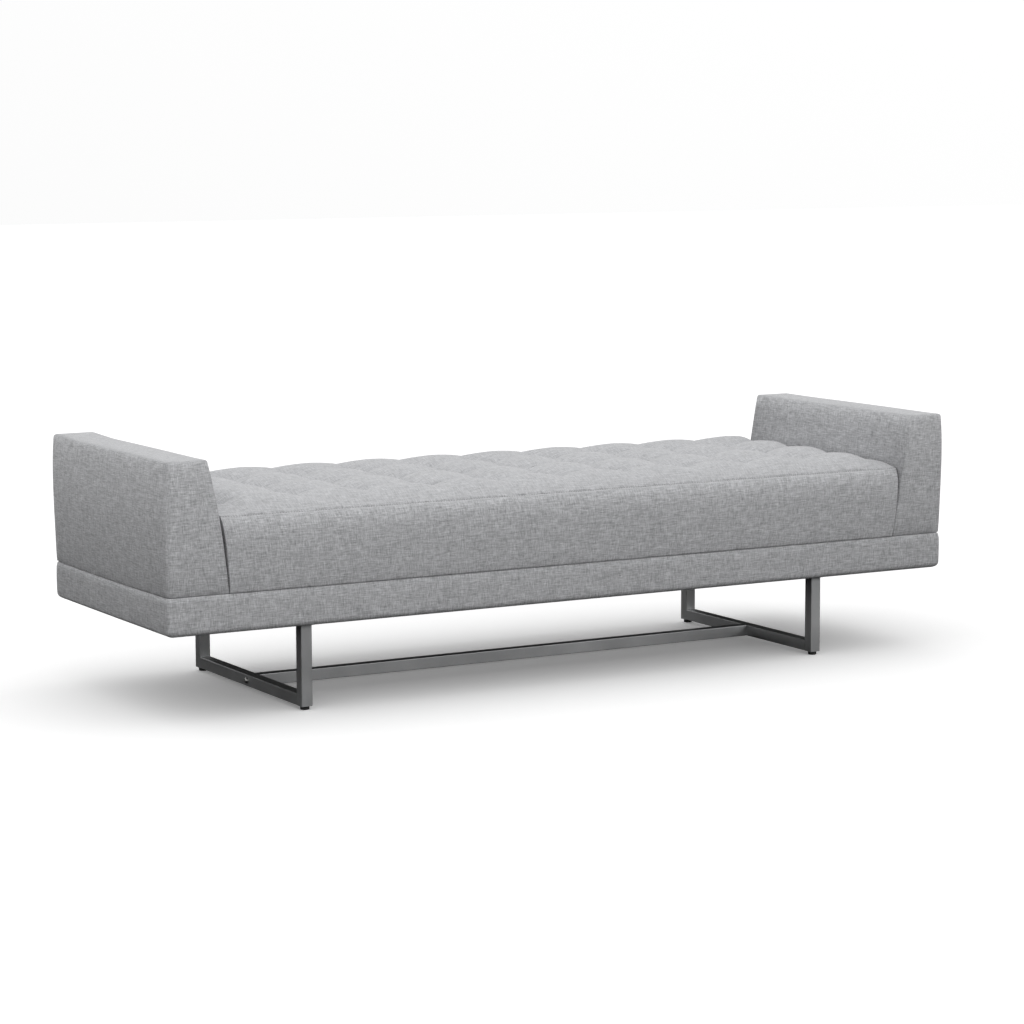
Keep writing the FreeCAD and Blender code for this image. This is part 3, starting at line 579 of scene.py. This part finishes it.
def stitched(name, path, outward):
    """Stitches of thread along a closed path, each a short tapered loop half sunk in the seam."""
    path, outward = closed(path), closed(outward)
    along = distances(path)
    count = int(along[-1] / STITCH_PITCH)

    def at(spot, rows):
        return np.array([np.interp(spot, along, values) for values in rows.T])

    points, faces, uvs = [], [], []
    sides, rings = STITCH_SIDES, len(STITCH_RINGS)
    for k in range(count):
        middle = (k + 0.5) * along[-1] / count
        centres = [at(middle + s * STITCH_LENGTH / 2, path) for s in STITCH_RINGS]
        normal = at(middle, outward)
        normal /= np.linalg.norm(normal)
        run = centres[-1] - centres[0]
        run /= np.linalg.norm(run)
        across = np.cross(run, normal)
        first = len(points)
        for centre, s in zip(centres, STITCH_RINGS):
            size = THREAD_RADIUS * (STITCH_TIP if abs(s) == 1 else 1.0)
            lift = normal * THREAD_RADIUS * (STITCH_RISE - STITCH_SINK * s * s)
            for i in range(sides):
                turn = 2 * math.pi * i / sides
                points.append(centre + lift + size * (math.cos(turn) * across + math.sin(turn) * normal))
        for j in range(rings - 1):
            for i in range(sides):
                a, b = first + j * sides + i, first + j * sides + (i + 1) % sides
                faces.append((a, b, b + sides, a + sides))
                uvs += [(u * STITCH_UV[0], v * STITCH_UV[1])
                        for u, v in ((i, j), (i + 1, j), (i + 1, j + 1), (i, j + 1))]
        faces.append(tuple(first + i for i in reversed(range(sides))))
        faces.append(tuple(first + (rings - 1) * sides + i for i in range(sides)))
        uvs += [(0.0, 0.0)] * (2 * sides)
    return mesh_piece(name, points, faces, FINISHES["thread"], uvs)


def bed_seam_path():
    """The sewn edge round the top of the mattress, and which way is outward there."""
    runs, lean = [], []
    gap = BED_CORNER + SEAM_END
    for out_x, out_y in ((0, -1), (1, 0), (0, 1), (-1, 0)):
        if out_y:
            x = np.linspace(out_y, -out_y, SEAM_LONG_COUNT) * (half_top - gap)
            yb = np.full_like(x, out_y * top_length)
        else:
            yb = np.linspace(-out_x, out_x, SEAM_SHORT_COUNT) * (top_length - gap)
            x = np.full_like(yb, out_x * half_top)
        runs.append(mattress_shape(np.column_stack([x, yb, np.zeros_like(x)])))
        lean.append(np.tile((float(out_x), float(out_y), SEAM_NORMAL_RISE), (len(x), 1)))
    return np.vstack(runs), np.vstack(lean)


seam_thread = stitched("mattress_seam_thread", *bed_seam_path())
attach(seam_thread, "mattress")

# ------------------------------------------------------------------------------ arms

ARM_TOP_WIDTH, ARM_STEP = 0.0926, 0.0065
ARM_LOW_RADIUS, ARM_HIGH_RADIUS = (0.013, 0.007, 0.0028), (0.005, 0.007, 0.006)
ARM_UV_SHIFT = (0.11, 0.05)
OUTER_FULL, OUTER_BOW, OUTER_BELLY, OUTER_TUCK = 0.0030, 0.0055, 0.0055, 0.0006
INNER_BOW, FRONT_FULL, FRONT_TUCK, TOP_BOW, TOP_ROLL = 0.0022, 0.0034, 0.0016, 0.0008, 0.0008
BELLY_POWER, OUTER_POWER, FRONT_POWER, TUCK_POWER, BLUNT = 0.9, 1.9, 1.7, 2.2, 0.75
TUCK_HEIGHT, ROLL_ACROSS, ROLL_DOWN = 0.045, (0.02, 0.013), (0.015, 0.02)
# where each change of shape starts and is full, as shares across and up the arm or depths from the middle
OUTER_PART, INNER_PART, TOP_PART = (0.45, 0.0), (0.6, 1.0), (0.7, 1.0)
FRONT_PART, PADDED_PART, BACK_PART = (0.24, 0.305), (0.312, 0.25), (0.16, 0.30)
# for the left arm (-1) and the right one: fullness of the inner face, rise of the top, more rise at its back
ARM_DIFFERENCES = {-1: (0.0045, 0.0010, 0.0035), 1: (0.0, 0.0026, 0.0010)}
# How far the padded faces of an arm lean back from upright, in degrees, against the distance
# in metres below its top: the cover is drawn round the foam there, and tucks in at the bottom.
OUTER_LEAN = ((0, 40), (0.006, 33), (0.014, 25), (0.03, 18), (0.057, 13), (0.1, 7), (0.145, 0), (0.2, -6),
              (0.233, -9.5), (0.262, -14), (0.278, -24))
INNER_LEAN = ((0, 45), (0.005, 36), (0.012, 21), (0.024, 5), (0.045, -6), (0.1, -12), (0.2, -11), (0.278, -6))
FRONT_LEAN = ((0, 40), (0.006, 32), (0.015, 22), (0.046, 14), (0.09, 10), (0.155, 5), (0.22, 0), (0.262, -7),
              (0.278, -24))
CORNER_SOFT, CORNER_REACH, CORNER_WIDTH = 0.45, 0.06, 0.013
EDGE_SOFT, SIDE_EDGE_WIDTH, FRONT_EDGE_WIDTH = 0.5, 0.015, 0.011


def bow(y, half):
    """1 in the middle of the depth and 0 at its ends."""
    return np.clip(1 - (y / half) ** 2, 0, 1)


def near(distance, width):
    """1 at no distance, fading away over the width."""
    return np.exp(-np.abs(distance) / width)


def swell(height, power=1.0):
    """0 at the foot and the top of a face and 1 between them, higher up for a greater power."""
    return np.sin(math.pi * height**power)


def arm_shape(points, side):
    """An arm with an upright outer face and a leaning inner face, in the frame of the left arm."""
    low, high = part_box("left_arm_cover")
    outer, wide, tall = low[0], high[0] - low[0], high[2] - low[2]
    inner_full, lift, back = ARM_DIFFERENCES[side]
    x, y, z = round_block(points, low, high, ARM_LOW_RADIUS, ARM_HIGH_RADIUS).T.copy()
    height = np.clip((z - low[2]) / tall, 0, 1)
    across = (x - outer) / wide
    x = outer + (x - outer) * (1 - height * (wide - ARM_TOP_WIDTH) / wide)
    deep = bow(y, high[1])
    tuck = np.clip(1 - (z - low[2]) / TUCK_HEIGHT, 0, 1) ** TUCK_POWER
    belly = swell(height, BELLY_POWER) * np.clip(1 - (y / high[1]) ** 4, 0, 1)
    bulge = OUTER_FULL * swell(height, OUTER_POWER) ** BLUNT + OUTER_BOW * deep * (1 - 0.5 * height)
    x = x - smoothstep(*OUTER_PART, across) * (bulge + OUTER_BELLY * belly - OUTER_TUCK * tuck)
    x = x + (INNER_BOW * deep + inner_full) * swell(height) * smoothstep(*INNER_PART, across)
    # the cover is tight and sharp at its end panels, and rolls softly over the padding between them
    roll = TOP_ROLL * smoothstep(*PADDED_PART, np.abs(y))
    below = low[2] + tall - z
    from_outer, from_inner = across * ARM_TOP_WIDTH, (1 - across) * ARM_TOP_WIDTH
    at_outer, at_inner = (np.exp(-away / ROLL_ACROSS[0]) for away in (from_outer, from_inner))
    x = x + roll * (at_outer - at_inner) * np.exp(-below / ROLL_DOWN[0])
    at_outer, at_inner = (np.exp(-away / ROLL_ACROSS[1]) for away in (from_outer, from_inner))
    z = z - roll * (at_outer + at_inner) * np.exp(-below / ROLL_DOWN[1])
    front_bulge = FRONT_FULL * swell(height, FRONT_POWER) ** BLUNT - FRONT_TUCK * tuck
    y = y + np.sign(y) * front_bulge * smoothstep(*FRONT_PART, np.abs(y))
    z = z + (lift + TOP_BOW * deep + back * smoothstep(*BACK_PART, y)) * smoothstep(*TOP_PART, height)
    return np.column_stack([x * -side, y, z])


def vertex_normals(mesh):
    normals = np.empty(len(mesh.vertices) * 3)
    mesh.vertex_normals.foreach_get("vector", normals)
    return normals.reshape(-1, 3)


def set_normals(mesh, normals):
    normals = normals / np.linalg.norm(normals, axis=1)[:, None]
    mesh.normals_split_custom_set_from_vertices([tuple(n) for n in normals])


def soft_normals(piece, side):
    """Shading normals of a soft cover: the faces roll into each other over the padding."""
    low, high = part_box("left_arm_cover")
    mesh = piece.data
    points = np.empty(len(mesh.vertices) * 3)
    mesh.vertices.foreach_get("co", points)
    x, y, z = points.reshape(-1, 3).T
    nx, ny, nz = vertex_normals(mesh).T
    nx, x = nx * -side, x * -side
    below = np.clip(high[2] - z, 0, None)
    from_outer, from_inner, from_front = x - low[0], low[0] + ARM_TOP_WIDTH - x, high[1] - np.abs(y)
    level = np.maximum(np.sqrt(nx**2 + ny**2), 1e-6)
    share_out, share_in = np.minimum(nx, 0) ** 2 / level**2, np.maximum(nx, 0) ** 2 / level**2
    share_front = ny**2 / level**2
    leans = ((share_out, OUTER_LEAN), (share_in, INNER_LEAN), (share_front, FRONT_LEAN))
    lean = np.radians(sum(share * np.interp(below, *zip(*table)) for share, table in leans))
    soft = np.column_stack([nx / level * np.cos(lean), ny / level * np.cos(lean), np.sin(lean)])
    weight = smoothstep(0.35, 0.8, level) * smoothstep(-0.9, -0.6, nz)
    new = np.column_stack([nx, ny, nz]) * (1 - weight[:, None]) + soft * weight[:, None]
    # the upright corners and the edges of the top
    corner = CORNER_SOFT * near(np.maximum(np.abs(from_outer), np.abs(from_front)), CORNER_REACH) * weight
    new[:, 0] -= corner * share_front * near(from_outer, CORNER_WIDTH)
    new[:, 1] += corner * share_out * np.sign(y) * near(from_front, CORNER_WIDTH)
    on_top = EDGE_SOFT * smoothstep(0.75, 0.95, nz)
    new[:, 0] += on_top * (near(from_inner, SIDE_EDGE_WIDTH) - near(from_outer, SIDE_EDGE_WIDTH))
    new[:, 1] += on_top * np.sign(y) * near(from_front, FRONT_EDGE_WIDTH)
    new[:, 0] *= -side
    set_normals(mesh, new)


def make_arm(name, side):
    low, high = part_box("left_arm_cover")
    xs, ys, zs = (spread(low[a], high[a], ARM_LOW_RADIUS[a], ARM_HIGH_RADIUS[a], ARM_STEP) for a in range(3))
    points, faces, sides = block_grid(xs, ys, zs)
    uvs = side_uvs(points, faces, sides, (ARM_UV_SHIFT[0] * side, ARM_UV_SHIFT[1]))
    if side > 0:
        faces = faces[:, ::-1]
        uvs = uvs.reshape(-1, 4, 2)[:, ::-1].reshape(-1, 2)
    piece = mesh_piece(f"{name}_arm", arm_shape(points, side), faces, FINISHES["grey_upholstery"], uvs)
    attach(piece, "frame")
    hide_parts(f"{name}_arm_cover", f"{name}_arm_padding")
    soft_normals(piece, side)


make_arm("left", -1)
make_arm("right", 1)

# -------------------------------------------------------------------- platform bands

band_low, band_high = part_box("front_band")[0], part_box("back_band")[1]
half_length, half_depth = band_high[0], band_high[1]
band_bottom, band_top = band_low[2], band_high[2]

BAND_CORNER, BAND_ARC, BAND_STEP = 0.0060, 6, 0.012
BAND_TOP_ROUND, BAND_BOTTOM_ROUND, BAND_SWELL = 0.0028, 0.013, 0.0006
BAND_THICK, LIP, LIP_THICK, INNER_HEIGHT = 0.0100, 0.050, 0.001, 0.04
FACE_ROW = 6  # the row of the section at the top of the outer face
BAND_BOW, BAND_SLACK, SLACK_HEIGHT = 0.006, 0.0020, 0.016
FACE_EDGE, FOOT_EDGE, FACE_DEPTH = (0.014, 0.004), (-0.002, 0.012), 0.004
END_LEAN_DEGREES = ((0, 24), (0.006, 8), (0.014, -4), (0.05, -9), (0.082, -16))  # degrees, as for the arms


def ring_path(inset):
    """A rounded rectangle inset from the band's outer face: places and outward directions."""
    a, b, r = half_length - inset, half_depth - inset, BAND_CORNER
    spots = []
    for cx, cy, start in ((1, -1, -90), (1, 1, 0), (-1, 1, 90), (-1, -1, 180)):
        for i in range(BAND_ARC + 1):
            turn = math.radians(start + 90 * i / BAND_ARC)
            out_x, out_y = math.cos(turn), math.sin(turn)
            spots.append((cx * (a - r) + r * out_x, cy * (b - r) + r * out_y, out_x, out_y))
    return spots


def quarter(steps):
    """Even angles over a quarter of a turn."""
    return [math.radians(90 * i / steps) for i in range(steps + 1)]


def band_profile():
    """The band's section as insets and heights: over the top, down the face, under the platform."""
    face_top, face_bottom = band_top - BAND_TOP_ROUND, band_bottom + BAND_BOTTOM_ROUND
    profile = [(BAND_THICK, band_top)]
    profile += [(BAND_TOP_ROUND * (1 - math.sin(t)), band_top - BAND_TOP_ROUND * (1 - math.cos(t)))
                for t in quarter(5)]
    profile += [(-BAND_SWELL * math.sin(math.pi * i / 8), face_top + (face_bottom - face_top) * i / 8)
                for i in range(1, 8)]
    profile += [(BAND_BOTTOM_ROUND * (1 - math.cos(t)), band_bottom + BAND_BOTTOM_ROUND * (1 - math.sin(t)))
                for t in quarter(6)]
    profile += [(BAND_BOTTOM_ROUND + (LIP - BAND_BOTTOM_ROUND) * i / 4, band_bottom) for i in range(1, 5)]
    profile += [(LIP, band_bottom + LIP_THICK), (BAND_THICK, band_bottom + LIP_THICK)]
    return profile + [(BAND_THICK, band_bottom + INNER_HEIGHT)]


def band_rings(profile):
    """The section carried round: even stations on the straight runs and close ones in the corners."""
    stations = []
    for q in range(4):
        stations += [(q, i, 0.0) for i in range(BAND_ARC + 1)]
        half = half_depth if q in (0, 2) else half_length
        count = round(2 * (half - BAND_CORNER) / BAND_STEP)
        stations += [(q, BAND_ARC, i / count) for i in range(1, count)]
    rings = []
    for inset, z in profile:
        path, extra = ring_path(max(inset, 0.0)), min(inset, 0.0)
        ring = []
        for q, i, share in stations:
            x, y, nx, ny = path[q * (BAND_ARC + 1) + i]
            x2, y2, _, _ = path[(q + 1) % 4 * (BAND_ARC + 1)]
            ring.append((x + (x2 - x) * share - nx * extra, y + (y2 - y) * share - ny * extra, z))
        rings.append(ring)
    return np.array(rings)


def make_bands():
    profile = band_profile()
    rings = band_rings(profile)
    x, y, z = rings[..., 0], rings[..., 1], rings[..., 2]
    outside = smoothstep(*FOOT_EDGE, z - band_bottom)
    slack = np.clip(1 - (band_top - z) / SLACK_HEIGHT, 0, 1) ** 2 * BAND_SLACK
    on_end = smoothstep(*FACE_EDGE, half_length - np.abs(x))
    on_side = smoothstep(*FACE_EDGE, half_depth - np.abs(y))
    x += np.sign(x) * (BAND_BOW * bow(y, half_depth) * outside - slack) * on_end
    y -= np.sign(y) * slack * on_side
    around = distances(closed(rings[FACE_ROW][:, :2]))
    down = [*distances(profile), distances(profile)[-1] + INNER_HEIGHT]
    rows, columns = rings.shape[:2]
    faces, uvs = [], []
    for j in range(rows):
        row, next_row = j * columns, (j + 1) % rows * columns
        for i in range(columns):
            i2 = (i + 1) % columns
            faces.append((row + i, next_row + i, next_row + i2, row + i2))
            u1, u2, v1, v2 = around[i], around[i + 1], -down[j], -down[j + 1]
            uvs += [(u1, v1), (u1, v2), (u2, v2), (u2, v1)]
    places = rings.reshape(-1, 3)
    piece = mesh_piece("platform_band", places, faces, FINISHES["grey_upholstery"], uvs)
    normals = vertex_normals(piece.data)
    on_face = smoothstep(0.8, 0.97, np.abs(normals[:, 0])) * (np.abs(places[:, 0]) > half_length - FACE_DEPTH)
    lean = np.radians(np.interp(band_top - places[:, 2], *zip(*END_LEAN_DEGREES)))
    normals[:, 2] += on_face * (np.tan(lean) - normals[:, 2])
    set_normals(piece.data, normals)
    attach(piece, "frame")
    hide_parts("front_band", "back_band", "left_band", "right_band")


make_bands()

# ---------------------------------------------------- cloths under and over the platform

CLOTH_THICK, HEM, HEM_SHARE = 0.0008, 0.014, 0.8
DUST_SAG, DECK_SAG, DECK_DROP = 0.0030, 0.0004, 0.0006


def cloth_sheet(name, node, height):
    """A thin sheet over a node's place, its hems doubled.

    It is stretched flat between its edges and hems, where a function of x and y gives its height.
    """
    low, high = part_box(node)
    xs, ys = ([low[a], low[a] + HEM, high[a] - HEM, high[a]] for a in (0, 1))
    points, faces, sides = block_grid(xs, ys, (0.0, 1.0))
    uvs = side_uvs(points, faces, sides)
    x, y, top = points.T
    doubled = (np.minimum(high[0] - np.abs(x), high[1] - np.abs(y)) < HEM + 1e-6) * CLOTH_THICK * HEM_SHARE
    z = height(x, y) + (top - 0.5) * CLOTH_THICK + np.where(top > 0.5, 0.0, -doubled)
    piece = mesh_piece(name, np.column_stack([x, y, z]), faces, FINISHES["black_cloth"], uvs)
    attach(piece, "frame")
    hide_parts(node)


def dust_height(x, y):
    """Half way up the dust cover's place, with a trace of slack at the hems."""
    low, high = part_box("dust_cover")
    slack = bow(x, high[0]) * bow(y, high[1]) * (0.8 + 0.2 * np.sin(x * 9.0 + 1.0) * np.cos(y * 13.0))
    return (low[2] + high[2]) / 2 - DUST_SAG * slack


def deck_height(x, y):
    """Just under the top of the deck cloth's place, with a trace of slack at the hems."""
    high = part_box("deck_cloth")[1]
    slack = bow(y, high[1]) * (0.5 + 0.5 * np.sin(x * 7.0) * np.cos(y * 11.0 + 0.6))
    return high[2] - DECK_DROP - DECK_SAG * slack


cloth_sheet("dust_cover_sheet", "dust_cover", dust_height)
cloth_sheet("deck_sheet", "deck_cloth", deck_height)

# ------------------------------------------------------------------ floor, light, camera

FLOOR_SIZE, FLOOR_GLOW = 60, 0.12
DOME_LEAN, DOME_LEVEL = (0.13, 0.06, 0.22), 1.12
CURTAIN_WAY, CURTAIN_EDGE = (0.49, 0.87, 0.0), (0.5, 0.82)
CAMERA_PLACE, CAMERA_TURN = (-3.3301, -5.8789, 1.2200), (29.546, 7.361, -0.179)
CAMERA_LENS, CAMERA_SENSOR = 105.1, 36

bpy.ops.mesh.primitive_plane_add(size=FLOOR_SIZE, location=(0, 0, 0))
floor = bpy.context.object
floor.name = "floor"
paint = Finish("floor_paint")
matt = paint.add("ShaderNodeBsdfDiffuse", None, Color=(1.0, 1.0, 1.0, 1))
glow = paint.add("ShaderNodeEmission", None, Color=(1.0, 1.0, 1.0, 1), Strength=FLOOR_GLOW)
both = paint.add("ShaderNodeAddShader", None, **{"0": matt.outputs[0], "1": glow.outputs[0]})
paint.tree.links.new(both.outputs[0], paint.output.inputs["Surface"])
floor.data.materials.append(paint.material)
floor.visible_diffuse = False
floor.visible_glossy = False

# A dome that is dark below the horizon, except to the camera, and has a dark curtain behind
# the object, which only reflections show.
world = bpy.data.worlds.new("studio")
bpy.context.scene.world = world
world.use_nodes = True
sky = Graph(world.node_tree)
way = sky.add("ShaderNodeTexCoord").outputs["Generated"]
rays = sky.add("ShaderNodeLightPath").outputs
level = sky.math("ADD", sky.dot(way, DOME_LEAN), DOME_LEVEL)
above = sky.math("GREATER_THAN", sky.split(way)[2], 0.0)
upper = sky.math("MULTIPLY", level, sky.math("MAXIMUM", above, rays["Is Camera Ray"]))
curtain = sky.remap(sky.dot(way, CURTAIN_WAY), *CURTAIN_EDGE, 0.0, 1.0, "SMOOTHSTEP")
mirrored = sky.math("MULTIPLY", curtain, rays["Is Glossy Ray"])
shown = sky.math("MULTIPLY", upper, sky.math("SUBTRACT", 1.0, mirrored))
dome = sky.add("ShaderNodeBackground", None, Strength=shown)
sky.add("ShaderNodeOutputWorld", None, Surface=dome.outputs[0])


def area_light(name, shape, size, watts, place, tilt, turn, unseen_by):
    """An area light, tilted up from facing down and then turned about the vertical, in degrees."""
    lamp = bpy.data.lights.new(name, "AREA")
    lamp.shape, lamp.energy = shape, watts
    lamp.size, lamp.size_y = size
    light = bpy.data.objects.new(name, lamp)
    bpy.context.scene.collection.objects.link(light)
    light.location = place
    light.rotation_euler = (math.radians(tilt), 0, math.radians(turn))
    for kind in unseen_by:
        setattr(light, f"visible_{kind}", False)


area_light("softbox", "RECTANGLE", size=(3.6, 1.2), watts=92, place=(3.2, -5.1, 2.0), tilt=90, turn=24,
           unseen_by=("diffuse", "camera"))
area_light("fill", "DISK", size=(1.6, 1.6), watts=12, place=(-1.2, -3.5, 1.2), tilt=76, turn=-4,
           unseen_by=("glossy", "camera"))

camera = bpy.data.objects.new("camera", bpy.data.cameras.new("camera"))
yaw, pitch, roll = (math.radians(angle) for angle in CAMERA_TURN)
forward = Vector((math.sin(yaw) * math.cos(pitch), math.cos(yaw) * math.cos(pitch), -math.sin(pitch)))
right = Vector((math.cos(yaw), -math.sin(yaw), 0))
upward = right.cross(forward)
right_rolled = right * math.cos(roll) + upward * math.sin(roll)
up_rolled = -right * math.sin(roll) + upward * math.cos(roll)
turned = Matrix((right_rolled, up_rolled, -forward)).transposed()
camera.matrix_world = Matrix.Translation(CAMERA_PLACE) @ turned.to_4x4()
camera.data.lens = CAMERA_LENS
camera.data.sensor_width = CAMERA_SENSOR
camera.data.clip_end = 100
bpy.context.scene.collection.objects.link(camera)
bpy.context.scene.camera = camera

bpy.context.scene.view_settings.view_transform = "Standard"
bpy.context.scene.view_settings.look = "None"
